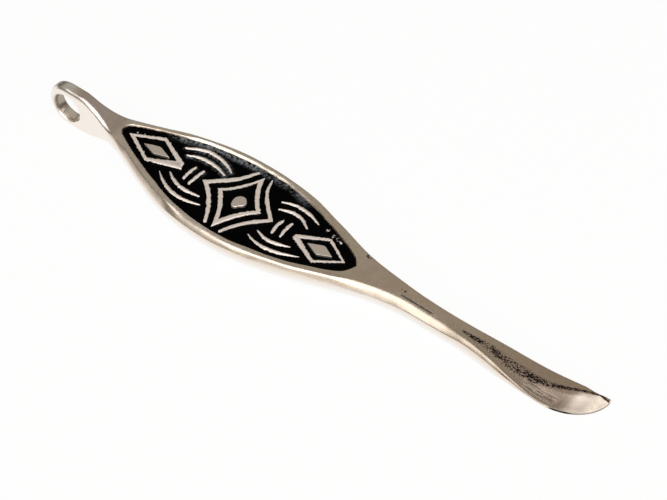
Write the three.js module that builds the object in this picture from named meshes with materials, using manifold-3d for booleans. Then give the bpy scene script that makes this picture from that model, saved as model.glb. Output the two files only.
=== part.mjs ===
// Nail cleaner: a hanging eye, a leaf-shaped panel with black enamel between raised lines,
// a slim shank and a knife blade ground on one side, all but the enamel in a single casting.
// Millimetres. +X runs to the blade's tip, +Y to the blade's back, +Z up from the flat back.
// The panel is laid out round its own centre, and the whole is then set down on its bounding
// box: the origin is the middle of the box's underside.
import * as THREE from "three";
import { mergeVertices } from "three/addons/utils/BufferGeometryUtils.js";
import Module from "manifold-3d";

// Panel: its outline is a raised cosine each side of the centre, which lies at X = 0 here
const PANEL_THICKNESS = 2.4;
const PANEL_WIDTH = 14.2;
const PANEL_LENGTH_EYE_SIDE = 25;
const PANEL_LENGTH_TIP_SIDE = 28;
const PANEL_FULLNESS_EYE_SIDE = 1.29;
const PANEL_FULLNESS_TIP_SIDE = 1;
const PANEL_BOW = 0.25;
const PANEL_BOW_START_X = -3;
const PANEL_BOW_FULL_X = -14;
const PANEL_EDGE_RADIUS = 0.9;
const PANEL_BACK_EDGE_RADIUS = 0.5;

// Hanging eye: a ring that stands across the panel, with its bore along Y
const NECK_LENGTH = 3.5;
const NECK_LEVEL_LENGTH = 2;
const NECK_BLEND_LENGTH = 8.4;
const EYE_RADIUS = 3.3;
const EYE_BORE_RADIUS = 2.1;
const EYE_THICKNESS = 1.75;
const EYE_EDGE_RADIUS = 0.4;
const EYE_MOUTH_FLARE = 0.2;
const EYE_CENTRE_X = -PANEL_LENGTH_EYE_SIDE - NECK_LENGTH;
const NECK_END_X = EYE_CENTRE_X + NECK_BLEND_LENGTH;

// Shank: it runs beside the panel's centre line
const SHANK_LENGTH = 6;
const SHANK_WIDTH = 2.9;
const SHANK_OFFSET = 0.95;
const SHANK_OFFSET_START_X = 5;
const SHANK_EDGE_RADIUS = 0.8;

// Blade: the back sweeps out in a parabola, the belly is a quarter of an ellipse
const BLADE_LENGTH = 20.7;
const BELLY_TO_TIP = 6.7;
const BACK_SWEEP = 1.3;
const BELLY_DEPTH = 2.85;
const TIP_DROP = 0.5;
const TIP_FALL_LENGTH = 3;
const EDGE_DROP = 0.9;
const EDGE_THICKNESS = 0.3;
const SPINE_THICKNESS_AT_TIP = 0.45;
const SPINE_TAPER_LENGTH = 17;
const BEVEL_HOLLOW = 0.1;
const BLADE_EDGE_RADIUS = 0.12;
const BLADE_BACK_RADIUS = 0.45;
const CREASE_INSET = 0.65;
const CREASE_TURN_TO_TIP = 8.7;
const CREASE_END_TO_TIP = 0.7;
const BLADE_START_X = PANEL_LENGTH_TIP_SIDE + SHANK_LENGTH;
const TIP_X = BLADE_START_X + BLADE_LENGTH;
const BELLY_X = TIP_X - BELLY_TO_TIP;
const CREASE_TURN_X = TIP_X - CREASE_TURN_TO_TIP;
const CREASE_END_X = TIP_X - CREASE_END_TO_TIP;

// Recess for the enamel: it keeps a rim inside the panel, and a shoulder slopes down to the enamel
const RIM_WIDTH = 1.1;
const RECESS_SHORT_OF_NECK = 5.1;
const RECESS_SHORT_OF_SHANK = 10.15;
const RECESS_DEPTH = 0.9;
const SHOULDER_WIDTH = 0.4;
const SHOULDER_END_WIDTH = 0.15;
const RECESS_HALF_WIDTH = PANEL_WIDTH / 2 - RIM_WIDTH;
const RECESS_LENGTH_EYE_SIDE = PANEL_LENGTH_EYE_SIDE - RECESS_SHORT_OF_NECK;
const RECESS_LENGTH_TIP_SIDE = PANEL_LENGTH_TIP_SIDE - RECESS_SHORT_OF_SHANK;

// Raised lines and enamel
const LINE_WIDTH = 0.6;
const LINE_END_WIDTH = 0.28;
const BAR_WIDTH = 0.5;
const LINE_BELOW_RIM = 0.1;
const ENAMEL_BELOW_RIM = 0.35;
const ENAMEL_CLEARANCE = 0.03;
const LINE_ROOT = 0.2;

const RECESS_FLOOR = PANEL_THICKNESS - RECESS_DEPTH;
const LINE_TOP = PANEL_THICKNESS - LINE_BELOW_RIM;
const ENAMEL_TOP = PANEL_THICKNESS - ENAMEL_BELOW_RIM;

// The ornament is drawn for a recess of these sizes and stretches with the real one
const DRAWN_HALF_WIDTH = 6;
const DRAWN_LENGTH_EYE_SIDE = 19.9;
const DRAWN_LENGTH_TIP_SIDE = 17.85;

// Lozenges
const EYE_LOZENGE = { x: -13.95, halfLength: 4.35, halfWidth: 2.15 };
const TIP_LOZENGE = { x: 12.75, halfLength: 3.5, halfWidth: 2 };
const EYE_LOZENGE_CORE = { x: -13.9, halfLength: 2.05, halfWidth: 0.85 };
const TIP_LOZENGE_CORE = { x: 12.95, halfLength: 1.95, halfWidth: 0.9 };

// Centre diamond, the chevrons round it and the dot in it
const DIAMOND_CENTRE = { x: -0.05, y: -0.2 };
const DIAMOND_HALF_LENGTH = 3.2;
const DIAMOND_HALF_WIDTH = 4.7;
const DIAMOND_SIDE_SAG = 0.35;
const CHEVRONS = [
  { vertex: { x: -5.45, y: -0.1 }, end: { x: -1.15, y: 5.3 }, sag: 0.6 },
  { vertex: { x: 4.95, y: 0 }, end: { x: 0.95, y: 5.3 }, sag: 0.5 },
];
const DOT_HALF_LENGTH = 0.85;
const DOT_HALF_WIDTH = 0.8;

// Arcs and bars between the diamond and the lozenges, given on the +Y side and mirrored
const EYE_ARCS = [
  [[-11.4, 2.45], [-9.6, 3.75], [-7.2, 4.2], [-5.3, 4.0], [-3.6, 3.25]],
  [[-10.35, 1.7], [-8.6, 2.45], [-7.2, 2.7], [-5.7, 2.65], [-4.35, 2.25]],
];
const TIP_ARCS = [
  [[4.1, 3.4], [5.8, 4.0], [7.4, 4.05], [9.3, 3.6], [10.9, 2.75]],
  [[4.65, 2.2], [5.9, 2.55], [7.2, 2.6], [8.5, 2.35], [9.7, 1.85]],
];
const BARS = [
  { x: -8.2, from: -1.45, to: 1.1 },
  { x: -6.95, from: -1.8, to: 1.25 },
  { x: 6.3, from: -1.7, to: 0.95 },
  { x: 7.5, from: -1.5, to: 1.2 },
];

// Fineness of the curved faces
const STATION_STEP = 1;
const TIP_STATIONS = 9;
const CORNER_STEPS = 4;
const RING_STEPS = 40;
const OUTLINE_STEPS = 30;
const STRIPE_STEPS = 10;

const SILVERED_METAL = { color: 0xc9bfb2, roughness: 0.28, metalness: 1 };
const BLACK_ENAMEL = { color: 0x0b0c0f, roughness: 0.35, metalness: 0 };

const wasm = await Module();
wasm.setup();

// A closed three.js geometry as a solid that can be joined and cut.
function solidFrom(geometry) {
  const plain = new THREE.BufferGeometry();
  plain.setAttribute("position", geometry.getAttribute("position"));
  if (geometry.index) plain.setIndex(geometry.index);
  const merged = mergeVertices(plain, 1e-5);
  const mesh = new wasm.Mesh({
    numProp: 3,
    vertProperties: new Float32Array(merged.attributes.position.array),
    triVerts: new Uint32Array(merged.index.array),
  });
  return new wasm.Manifold(mesh);
}

// The solid back as a geometry for a mesh.
function geometryFrom(solid) {
  const mesh = solid.getMesh();
  const geometry = new THREE.BufferGeometry();
  geometry.setAttribute("position", new THREE.BufferAttribute(mesh.vertProperties, 3));
  geometry.setIndex(new THREE.BufferAttribute(mesh.triVerts, 1));
  geometry.computeVertexNormals();
  return geometry;
}

// 0 before the start, 1 past the end and a smooth S between them.
function ease(value, start, end) {
  return THREE.MathUtils.smoothstep(value, start, end);
}

// Half width of the body about its own centre line, without the blade.
function bodyHalfWidth(x) {
  const eyeSide = x < 0;
  const end = eyeSide ? EYE_THICKNESS / 2 : SHANK_WIDTH / 2;
  const reach = eyeSide ? PANEL_LENGTH_EYE_SIDE : PANEL_LENGTH_TIP_SIDE;
  const fullness = eyeSide ? PANEL_FULLNESS_EYE_SIDE : PANEL_FULLNESS_TIP_SIDE;
  const along = Math.min(Math.abs(x) / reach, 1) ** fullness;
  const bulge = Math.cos((Math.PI / 2) * along) ** 2;
  return end + (PANEL_WIDTH / 2 - end) * bulge;
}

// The line that the body, the recess and the ornament lie on: it bows a little on the eye's side.
function centreLine(x) {
  const bowed = ease(-x, -PANEL_BOW_START_X, -PANEL_BOW_FULL_X) * ease(x, -PANEL_LENGTH_EYE_SIDE, NECK_END_X);
  return PANEL_BOW * bowed + SHANK_OFFSET * ease(x, SHANK_OFFSET_START_X, PANEL_LENGTH_TIP_SIDE - 2);
}

// The side that ends as the back of the blade.
function backEdge(x) {
  const along = Math.max(x - BLADE_START_X, 0) / (TIP_X - BLADE_START_X);
  return centreLine(x) + bodyHalfWidth(x) + BACK_SWEEP * along ** 2;
}

// The side that ends as the cutting edge.
function frontEdge(x) {
  const shankSide = centreLine(x) - bodyHalfWidth(x);
  const bellySide = SHANK_OFFSET - BELLY_DEPTH;
  if (x <= BELLY_X) return THREE.MathUtils.lerp(shankSide, bellySide, ease(x, BLADE_START_X, BELLY_X));
  const across = Math.min((x - BELLY_X) / (TIP_X - BELLY_X), 1);
  const tipSide = backEdge(TIP_X) - EDGE_THICKNESS;
  return tipSide - (tipSide - bellySide) * Math.sqrt(1 - across ** 2);
}

// The line on the upper face where the blade's bevel starts.
function crease(x) {
  const along = Math.max(x - CREASE_TURN_X, 0) / (CREASE_END_X - CREASE_TURN_X);
  const start = SHANK_OFFSET - CREASE_INSET;
  const swept = start + (backEdge(CREASE_END_X) - start) * along ** 2;
  return THREE.MathUtils.clamp(swept, frontEdge(x) + 0.1, backEdge(x) - 0.1);
}

// How far the neck stands over the panel's faces, above and below: it stays level past the
// eye and then falls to the panel.
function neckRise(x) {
  const rise = EYE_RADIUS - PANEL_THICKNESS / 2;
  return rise * (1 - ease(x, EYE_CENTRE_X + NECK_LEVEL_LENGTH, NECK_END_X));
}

// The heights of the four corners of a cross-section.
function heights(x) {
  const rise = neckRise(x);
  const tipFall = TIP_DROP * Math.max((x - TIP_X) / TIP_FALL_LENGTH + 1, 0) ** 2;
  const backTop = PANEL_THICKNESS + rise - tipFall;
  const grinding = ease(x, BLADE_START_X, BELLY_X);
  const frontTop = PANEL_THICKNESS + rise - EDGE_DROP * grinding;
  const taper = Math.max((x - TIP_X) / SPINE_TAPER_LENGTH + 1, 0) ** 2;
  const tipUnderside = PANEL_THICKNESS - TIP_DROP - SPINE_THICKNESS_AT_TIP;
  const edgeUnderside = PANEL_THICKNESS - EDGE_DROP - EDGE_THICKNESS;
  return {
    backTop,
    frontTop,
    frontBottom: -rise + edgeUnderside * grinding,
    backBottom: -rise + tipUnderside * taper,
  };
}

// The rounding of the edges: the neck's, the panel's, the shank's and then the blade's.
function edgeRadii(x) {
  const neck = ease(x, EYE_CENTRE_X + EYE_RADIUS, NECK_END_X + 2);
  const panel = THREE.MathUtils.lerp(EYE_EDGE_RADIUS, PANEL_EDGE_RADIUS, neck);
  const panelBack = THREE.MathUtils.lerp(EYE_EDGE_RADIUS, PANEL_BACK_EDGE_RADIUS, neck);
  const top = THREE.MathUtils.lerp(panel, SHANK_EDGE_RADIUS, ease(x, 0, PANEL_LENGTH_TIP_SIDE));
  const blade = ease(x, BLADE_START_X, BELLY_X);
  return {
    backTop: THREE.MathUtils.lerp(top, BLADE_BACK_RADIUS, blade),
    frontTop: THREE.MathUtils.lerp(top, BLADE_EDGE_RADIUS, blade),
    bottom: THREE.MathUtils.lerp(panelBack, BLADE_EDGE_RADIUS, blade),
  };
}

// A rounded corner between two neighbours, as points of a short curve.
function roundedCorner(before, corner, after, radius) {
  const toBefore = before.clone().sub(corner);
  const toAfter = after.clone().sub(corner);
  const reach = Math.min(radius, toBefore.length() * 0.45, toAfter.length() * 0.45);
  const start = corner.clone().add(toBefore.setLength(reach));
  const end = corner.clone().add(toAfter.setLength(reach));
  return new THREE.QuadraticBezierCurve(start, corner, end).getPoints(CORNER_STEPS);
}

// One cross-section of the body, as points in the Y-Z plane.
function section(x) {
  const height = heights(x);
  const radius = edgeRadii(x);
  const backTop = new THREE.Vector2(backEdge(x), height.backTop);
  const creaseTop = new THREE.Vector2(crease(x), height.backTop);
  const frontTop = new THREE.Vector2(frontEdge(x), height.frontTop);
  const frontBottom = new THREE.Vector2(frontEdge(x), height.frontBottom);
  const backBottom = new THREE.Vector2(backEdge(x), height.backBottom);
  const bevelMiddle = creaseTop.clone().lerp(frontTop, 0.5);
  bevelMiddle.y -= BEVEL_HOLLOW * ease(x, BLADE_START_X, BELLY_X) * ease(TIP_X - x, 0, 2);
  return [
    ...roundedCorner(backBottom, backTop, creaseTop, radius.backTop),
    creaseTop,
    bevelMiddle,
    ...roundedCorner(bevelMiddle, frontTop, frontBottom, radius.frontTop),
    ...roundedCorner(frontTop, frontBottom, backBottom, radius.bottom),
    ...roundedCorner(frontBottom, backBottom, backTop, radius.bottom),
  ];
}

// Where the cross-sections stand: even steps, then closer and closer to the tip.
function stations() {
  const steps = Math.round((BELLY_X - EYE_CENTRE_X) / STATION_STEP);
  const places = [];
  for (let i = 0; i <= steps; i++) {
    places.push(EYE_CENTRE_X + ((BELLY_X - EYE_CENTRE_X) * i) / steps);
  }
  for (let i = 1; i <= TIP_STATIONS; i++) {
    places.push(BELLY_X + (TIP_X - BELLY_X) * Math.sin((Math.PI / 2) * (i / TIP_STATIONS)));
  }
  return places;
}

// A skin over rings of as many points each, closed with a flat face at both ends. The outlines
// of the two end rings are given once more as flat points, to be filled with triangles.
function skinned(rings, firstOutline, lastOutline) {
  const count = rings[0].length;
  const positions = rings.flatMap((ring) => ring.flatMap((point) => [point.x, point.y, point.z]));
  const faces = [];
  for (let i = 0; i < rings.length - 1; i++) {
    for (let j = 0; j < count; j++) {
      const here = i * count + j;
      const next = i * count + ((j + 1) % count);
      faces.push(here, next, here + count, next, next + count, here + count);
    }
  }
  const last = (rings.length - 1) * count;
  for (const [a, b, c] of THREE.ShapeUtils.triangulateShape(firstOutline, [])) {
    faces.push(a, c, b);
  }
  for (const [a, b, c] of THREE.ShapeUtils.triangulateShape(lastOutline, [])) {
    faces.push(last + a, last + b, last + c);
  }
  const geometry = new THREE.BufferGeometry();
  geometry.setAttribute("position", new THREE.Float32BufferAttribute(positions, 3));
  geometry.setIndex(faces);
  return solidFrom(geometry);
}

// The body without its recess, over cross-sections that stand across X.
function loftedBody() {
  const places = stations();
  const outlines = places.map(section);
  const rings = outlines.map((outline, i) => {
    return outline.map((point) => new THREE.Vector3(places[i], point.x, point.y));
  });
  return skinned(rings, outlines[0], outlines.at(-1));
}

// A round turned about the bore's axis, from points of radius and height.
function turnedAboutBore(profile) {
  const geometry = new THREE.LatheGeometry(profile, RING_STEPS);
  geometry.translate(EYE_CENTRE_X, 0, PANEL_THICKNESS / 2);
  return solidFrom(geometry);
}

function eyeDisc() {
  const half = EYE_THICKNESS / 2;
  const lower = new THREE.Vector2(EYE_RADIUS, -half);
  const upper = new THREE.Vector2(EYE_RADIUS, half);
  const lowerCentre = new THREE.Vector2(0, -half);
  const upperCentre = new THREE.Vector2(0, half);
  return turnedAboutBore([
    lowerCentre,
    ...roundedCorner(lowerCentre, lower, upper, EYE_EDGE_RADIUS),
    ...roundedCorner(lower, upper, upperCentre, EYE_EDGE_RADIUS),
    upperCentre,
  ]);
}

// The bore, a little wider at both mouths.
function eyeBore() {
  const half = EYE_THICKNESS / 2;
  const mouth = EYE_BORE_RADIUS + EYE_MOUTH_FLARE;
  const beyond = half + 1;
  return turnedAboutBore([
    new THREE.Vector2(0, -beyond),
    new THREE.Vector2(mouth, -beyond),
    new THREE.Vector2(mouth, -half),
    new THREE.Vector2(EYE_BORE_RADIUS, -half + EYE_MOUTH_FLARE),
    new THREE.Vector2(EYE_BORE_RADIUS, half - EYE_MOUTH_FLARE),
    new THREE.Vector2(mouth, half),
    new THREE.Vector2(mouth, beyond),
    new THREE.Vector2(0, beyond),
  ]);
}

// A flat shape raised from one height to another.
function raised(points, from, to) {
  const geometry = new THREE.ExtrudeGeometry(new THREE.Shape(points), {
    depth: to - from,
    bevelEnabled: false,
    steps: 1,
  });
  geometry.translate(0, 0, from);
  return solidFrom(geometry);
}

// Half width of the recess: fuller and blunter on the side of the tip.
function recessHalfWidth(x) {
  const eyeSide = x < 0;
  const along = Math.abs(x) / (eyeSide ? RECESS_LENGTH_EYE_SIDE : RECESS_LENGTH_TIP_SIDE);
  const shape = eyeSide ? { bow: 1.65, end: 0.74 } : { bow: 1.8, end: 0.62 };
  return RECESS_HALF_WIDTH * Math.max(1 - along ** shape.bow, 0) ** shape.end;
}

// How wide the shoulder is: it narrows towards both ends of the recess.
function shoulderWidth(x) {
  const fromEye = ease(x, -RECESS_LENGTH_EYE_SIDE, -0.7 * RECESS_LENGTH_EYE_SIDE);
  const toTip = ease(x, 0, 0.7 * RECESS_LENGTH_TIP_SIDE);
  return THREE.MathUtils.lerp(SHOULDER_END_WIDTH, SHOULDER_WIDTH, fromEye * (1 - toTip));
}

// The outline of the recess at the top face, or at the foot of the shoulder, which is inset by
// the shoulder's width and by less where the recess runs out.
function recessOutline(atFoot) {
  const points = [];
  for (let i = 0; i < OUTLINE_STEPS * 2; i++) {
    const turn = (Math.PI * i) / OUTLINE_STEPS;
    const reach = Math.cos(turn) < 0 ? RECESS_LENGTH_EYE_SIDE : RECESS_LENGTH_TIP_SIDE;
    const side = Math.abs(Math.sin(turn)) < 1e-9 ? 0 : Math.sign(Math.sin(turn));
    const x = reach * Math.cos(turn);
    const half = recessHalfWidth(x);
    const shoulder = atFoot ? shoulderWidth(x) : 0;
    const inset = half > 0 ? (shoulder * half) / (shoulder + half) : 0;
    points.push(new THREE.Vector2(x * (1 - shoulder / reach), centreLine(x) + side * (half - inset)));
  }
  return points;
}

// The recess as a solid to be cut out: upright walls, then the shoulder, then clear of the panel.
function recessCutter() {
  const top = recessOutline(false);
  const foot = recessOutline(true);
  const layers = [
    { outline: foot, height: RECESS_FLOOR },
    { outline: foot, height: ENAMEL_TOP },
    { outline: top, height: PANEL_THICKNESS },
    { outline: top, height: PANEL_THICKNESS + 1 },
  ];
  const rings = layers.map(({ outline, height }) => {
    return outline.map((point) => new THREE.Vector3(point.x, point.y, height));
  });
  return skinned(rings, foot, top);
}

// A point of the drawn ornament, stretched to the real recess and set on the centre line.
function placed(point) {
  const eyeSide = point.x < 0;
  const length = eyeSide ? RECESS_LENGTH_EYE_SIDE : RECESS_LENGTH_TIP_SIDE;
  const drawnLength = eyeSide ? DRAWN_LENGTH_EYE_SIDE : DRAWN_LENGTH_TIP_SIDE;
  const x = point.x * (length / drawnLength);
  const y = point.y * (RECESS_HALF_WIDTH / DRAWN_HALF_WIDTH);
  return new THREE.Vector2(x, y + centreLine(x));
}

// An outline moved outwards by a distance, or inwards when it is negative.
function grown(points, distance) {
  const count = points.length;
  return points.map((point, i) => {
    const before = points[(i + count - 1) % count];
    const after = points[(i + 1) % count];
    const arriving = point.clone().sub(before).normalize();
    const leaving = after.clone().sub(point).normalize();
    const miter = new THREE.Vector2(arriving.y + leaving.y, -arriving.x - leaving.x).normalize();
    const stretch = miter.dot(new THREE.Vector2(arriving.y, -arriving.x));
    return point.clone().addScaledVector(miter, distance / Math.max(stretch, 0.4));
  });
}

// A band along an open line, square at both ends. It narrows to its end width over the given
// share of its length at each end, and all of it may be grown by a little extra.
function bandOutline({ line, width, taper }, extra) {
  const left = [];
  const right = [];
  line.forEach((point, i) => {
    const before = line[Math.max(i - 1, 0)];
    const after = line[Math.min(i + 1, line.length - 1)];
    const along = after.clone().sub(before).normalize();
    const across = new THREE.Vector2(-along.y, along.x);
    const share = i / (line.length - 1);
    const fromEnd = Math.min(share, 1 - share) / taper;
    const full = Math.sin((Math.PI / 2) * Math.min(fromEnd, 1));
    const half = THREE.MathUtils.lerp(LINE_END_WIDTH, width, full) / 2 + extra;
    const end = i === 0 ? -extra : i === line.length - 1 ? extra : 0;
    const centre = point.clone().addScaledVector(along, end);
    left.push(centre.clone().addScaledVector(across, half));
    right.unshift(centre.clone().addScaledVector(across, -half));
  });
  return [...right, ...left].reverse();
}

function smoothLine(points) {
  const knots = points.map(([x, y]) => new THREE.Vector2(x, y));
  return new THREE.SplineCurve(knots).getPoints(STRIPE_STEPS);
}

// A side that sags towards the middle of its figure.
function saggingSide(from, to, sag) {
  const middle = from.clone().add(to).multiplyScalar(0.5);
  const inwards = middle.clone().negate().setLength(2 * sag);
  const pull = middle.add(inwards);
  return new THREE.QuadraticBezierCurve(from, pull, to).getPoints(STRIPE_STEPS / 2);
}

// A closed figure of four sides, straight or sagging, counted anticlockwise.
function fourSided(centre, halfLength, halfWidth, sag) {
  const corners = [
    new THREE.Vector2(halfLength, 0),
    new THREE.Vector2(0, halfWidth),
    new THREE.Vector2(-halfLength, 0),
    new THREE.Vector2(0, -halfWidth),
  ];
  const points = corners.flatMap((corner, i) => {
    const next = corners[(i + 1) % corners.length];
    return sag ? saggingSide(corner, next, sag).slice(0, -1) : [corner];
  });
  return points.map((point) => placed(new THREE.Vector2(point.x + centre.x, point.y + centre.y)));
}

function lozengeLine(lozenge) {
  return fourSided({ x: lozenge.x, y: 0 }, lozenge.halfLength, lozenge.halfWidth, 0);
}

function diamondLine() {
  return fourSided(DIAMOND_CENTRE, DIAMOND_HALF_LENGTH, DIAMOND_HALF_WIDTH, DIAMOND_SIDE_SAG);
}

function dotLine() {
  const { x, y } = DIAMOND_CENTRE;
  const dot = new THREE.EllipseCurve(x, y, DOT_HALF_LENGTH, DOT_HALF_WIDTH);
  return dot.getPoints(STRIPE_STEPS + 2).slice(0, -1).map(placed);
}

// A chevron that points to the eye or to the tip.
function chevronLine(chevron) {
  const vertex = new THREE.Vector2(chevron.vertex.x, chevron.vertex.y);
  const upperEnd = new THREE.Vector2(chevron.end.x, chevron.end.y);
  const lowerEnd = new THREE.Vector2(chevron.end.x, -chevron.end.y);
  const upperArm = saggingSide(upperEnd, vertex, chevron.sag);
  const lowerArm = saggingSide(vertex, lowerEnd, chevron.sag);
  return [...upperArm, ...lowerArm.slice(1)];
}

// Every open line of the ornament, with its width and the share of it that tapers at each end.
function openLines() {
  const lines = CHEVRONS.map((chevron) => {
    return { line: chevronLine(chevron).map(placed), width: LINE_WIDTH, taper: 0.12 };
  });
  for (const side of [-1, 1]) {
    for (const arc of [...EYE_ARCS, ...TIP_ARCS]) {
      const line = smoothLine(arc.map(([x, y]) => [x, side * y]));
      lines.push({ line: line.map(placed), width: LINE_WIDTH, taper: 0.45 });
    }
  }
  for (const bar of BARS) {
    const line = smoothLine([[bar.x, bar.from], [bar.x, bar.to]]);
    lines.push({ line: line.map(placed), width: BAR_WIDTH, taper: 0.3 });
  }
  return lines;
}

const FRAMES = {
  eye_lozenge: { line: lozengeLine(EYE_LOZENGE), core: lozengeLine(EYE_LOZENGE_CORE) },
  centre_diamond: { line: diamondLine(), core: dotLine() },
  tip_lozenge: { line: lozengeLine(TIP_LOZENGE), core: lozengeLine(TIP_LOZENGE_CORE) },
};

function joined(solids) {
  return solids.reduce((whole, solid) => whole.add(solid));
}

// The raised lines, rooted a little way into the floor of the recess.
function ornament() {
  const root = RECESS_FLOOR - LINE_ROOT;
  const lines = openLines().map((open) => raised(bandOutline(open, 0), root, LINE_TOP));
  const frames = Object.values(FRAMES).map(({ line }) => {
    const outside = raised(grown(line, LINE_WIDTH / 2), root, LINE_TOP);
    const inside = raised(grown(line, -LINE_WIDTH / 2), RECESS_FLOOR, LINE_TOP + 1);
    return outside.subtract(inside);
  });
  const cores = Object.values(FRAMES).map(({ core }) => raised(core, root, LINE_TOP));
  return joined([...lines, ...frames, ...cores]);
}

function castBody() {
  const blank = loftedBody().add(eyeDisc()).subtract(eyeBore());
  return blank.subtract(recessCutter()).add(ornament());
}

// The enamel between the rim, the frames and every open line.
function fieldEnamel() {
  const fill = raised(grown(recessOutline(true), -ENAMEL_CLEARANCE), RECESS_FLOOR, ENAMEL_TOP);
  const beyond = ENAMEL_TOP + 1;
  const lines = openLines().map((open) => {
    return raised(bandOutline(open, ENAMEL_CLEARANCE), RECESS_FLOOR - 1, beyond);
  });
  const frames = Object.values(FRAMES).map(({ line }) => {
    return raised(grown(line, LINE_WIDTH / 2 + ENAMEL_CLEARANCE), RECESS_FLOOR - 1, beyond);
  });
  return fill.subtract(joined([...lines, ...frames]));
}

// The enamel inside a frame, round its core.
function framedEnamel({ line, core }) {
  const fill = raised(grown(line, -LINE_WIDTH / 2 - ENAMEL_CLEARANCE), RECESS_FLOOR, ENAMEL_TOP);
  return fill.subtract(raised(grown(core, ENAMEL_CLEARANCE), RECESS_FLOOR - 1, ENAMEL_TOP + 1));
}

function piece(name, solid, finish) {
  const mesh = new THREE.Mesh(geometryFrom(solid), new THREE.MeshStandardMaterial(finish));
  mesh.name = name;
  return mesh;
}

const nailCleaner = new THREE.Group();
nailCleaner.add(piece("cast_body", castBody(), SILVERED_METAL));
nailCleaner.add(piece("field_enamel", fieldEnamel(), BLACK_ENAMEL));
for (const [name, frame] of Object.entries(FRAMES)) {
  nailCleaner.add(piece(`${name}_enamel`, framedEnamel(frame), BLACK_ENAMEL));
}

const bounds = new THREE.Box3().setFromObject(nailCleaner);
const middle = bounds.getCenter(new THREE.Vector3());
nailCleaner.position.set(-middle.x, -middle.y, -bounds.min.z);

export default nailCleaner;
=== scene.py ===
# %% [markdown]
# # A cast nail cleaner with an enamelled panel
#
# The real tool is one casting. A leaf-shaped panel carries a shallow recess in which raised
# lines draw a diamond, lozenges, arcs and bars, with black enamel between them. A hanging
# eye stands on edge at one end, and a slim shank runs out to a small one-sided blade at
# the other. This notebook builds its looks around the CAD frame: the metal body, the
# raised lines, the enamel, the finishes, and then the table, the light and the camera.

# %% The frame and its box
import math

import bmesh
import bpy
import numpy as np
from mathutils import Matrix, Vector, kdtree, noise


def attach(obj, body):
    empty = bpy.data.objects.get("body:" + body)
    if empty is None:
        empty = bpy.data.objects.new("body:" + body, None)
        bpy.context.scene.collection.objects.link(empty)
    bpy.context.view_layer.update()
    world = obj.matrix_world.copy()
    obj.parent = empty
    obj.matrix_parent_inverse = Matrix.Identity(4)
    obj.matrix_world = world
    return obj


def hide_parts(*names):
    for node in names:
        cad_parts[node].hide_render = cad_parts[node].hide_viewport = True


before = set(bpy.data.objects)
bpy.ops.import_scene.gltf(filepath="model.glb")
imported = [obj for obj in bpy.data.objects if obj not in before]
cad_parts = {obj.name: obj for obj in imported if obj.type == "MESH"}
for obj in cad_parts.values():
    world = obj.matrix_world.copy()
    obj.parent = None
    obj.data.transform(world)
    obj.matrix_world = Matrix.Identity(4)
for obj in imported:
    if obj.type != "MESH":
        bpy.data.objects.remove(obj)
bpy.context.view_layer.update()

# %% [markdown]
# ## Measures
#
# All drawing is done in millimetres round the middle of the panel, with the flat back at
# height 0. One matrix then takes every finished piece to the frame's metres, so that a
# piece's place is in its mesh and its object stays at the origin. The +Y side of the
# panel is the far side in the photograph.

# %% Measures in millimetres
MIDDLE_X, BACK_Z = -0.01145, 0.0021  # the drawing's origin, in metres
TO_FRAME = Matrix.Translation((MIDDLE_X, 0, BACK_Z)) @ Matrix.Scale(0.001, 4)

THICKNESS = 2.4
HALF_PANEL = 7.1
EYE_X, EYE_Z, EYE_R, BORE_R, EYE_HALF = -28.5, 1.2, 3.3, 2.1, 0.875
NECK_LEVEL_X, NECK_END_X = -26.5, -20.1
SHANK_HALF, SHANK_OFFSET = 1.45, 0.95
BLADE_X, BELLY_X, TIP_X = 34.0, 48.0, 54.7
BACK_SWEEP, BELLY_DROP = 1.3, 2.85
CREASE_Y, CREASE_START, CREASE_END = 0.3, 46, 54
EDGE_DROP, EDGE_THICK = 0.9, 0.3
RECESS_EYE, RECESS_TIP = 19.75, 17.95
RECESS_FLOOR, ENAMEL_LEVEL, LINE_TOP = 1.5, 2.05, 2.3
print("length of the tool:", TIP_X - (EYE_X - EYE_R), "mm")

# %% [markdown]
# ## The outline as formulas
#
# The panel's outline is a raised cosine that runs out into the neck and the shank. The
# blade's back sweeps out in a parabola and its belly is a quarter of an ellipse. Formulas
# keep the long curves free of the dents that hand-placed points would leave, and polish
# shows every dent. The real far edge was filed by hand, so a few small offsets are eased
# along it.

# %% Outline formulas
def ease(value, start, end):
    share = min(max((value - start) / (end - start), 0.0), 1.0)
    return share * share * (3 - 2 * share)


def mix(a, b, share):
    return a + (b - a) * share


def eased(x, knots):
    knots = [(knots[0][0] - 1, *knots[0][1:]), *knots, (knots[-1][0] + 1, *knots[-1][1:])]
    for (a, *before), (b, *after) in zip(knots, knots[1:]):
        if x <= b or b == knots[-1][0]:
            return [mix(p, q, ease(x, a, b)) for p, q in zip(before, after)]


def half_width(x):
    end, reach, fullness = (EYE_HALF, 25.0, 1.29) if x < 0 else (SHANK_HALF, 28.0, 1.0)
    along = min(abs(x) / reach, 1.0) ** fullness
    return end + (HALF_PANEL - end) * math.cos(math.pi / 2 * along) ** 2


def centre_line(x):
    bow = ease(-x, 3, 14) * ease(x, -25, NECK_END_X)
    return 0.25 * bow + SHANK_OFFSET * ease(x, 5, 26)


def back_edge(x):
    sweep = max(x - BLADE_X, 0) / (TIP_X - BLADE_X)
    return centre_line(x) + half_width(x) + BACK_SWEEP * sweep**2


FAR_WEAR = [
    (-26, 0.04), (-19.8, 0.24), (-14, 0.03), (-9, -0.14), (-3, -0.01), (2, 0.01), (7.4, 0.19),
    (12, 0.0), (18, -0.24), (24.5, -0.03), (32, -0.21), (40, -0.07), (46.5, -0.2), (53, -0.01),
    (54.7, 0.0),
]


def far_edge(x):
    return back_edge(x) + eased(x, FAR_WEAR)[0]


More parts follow.
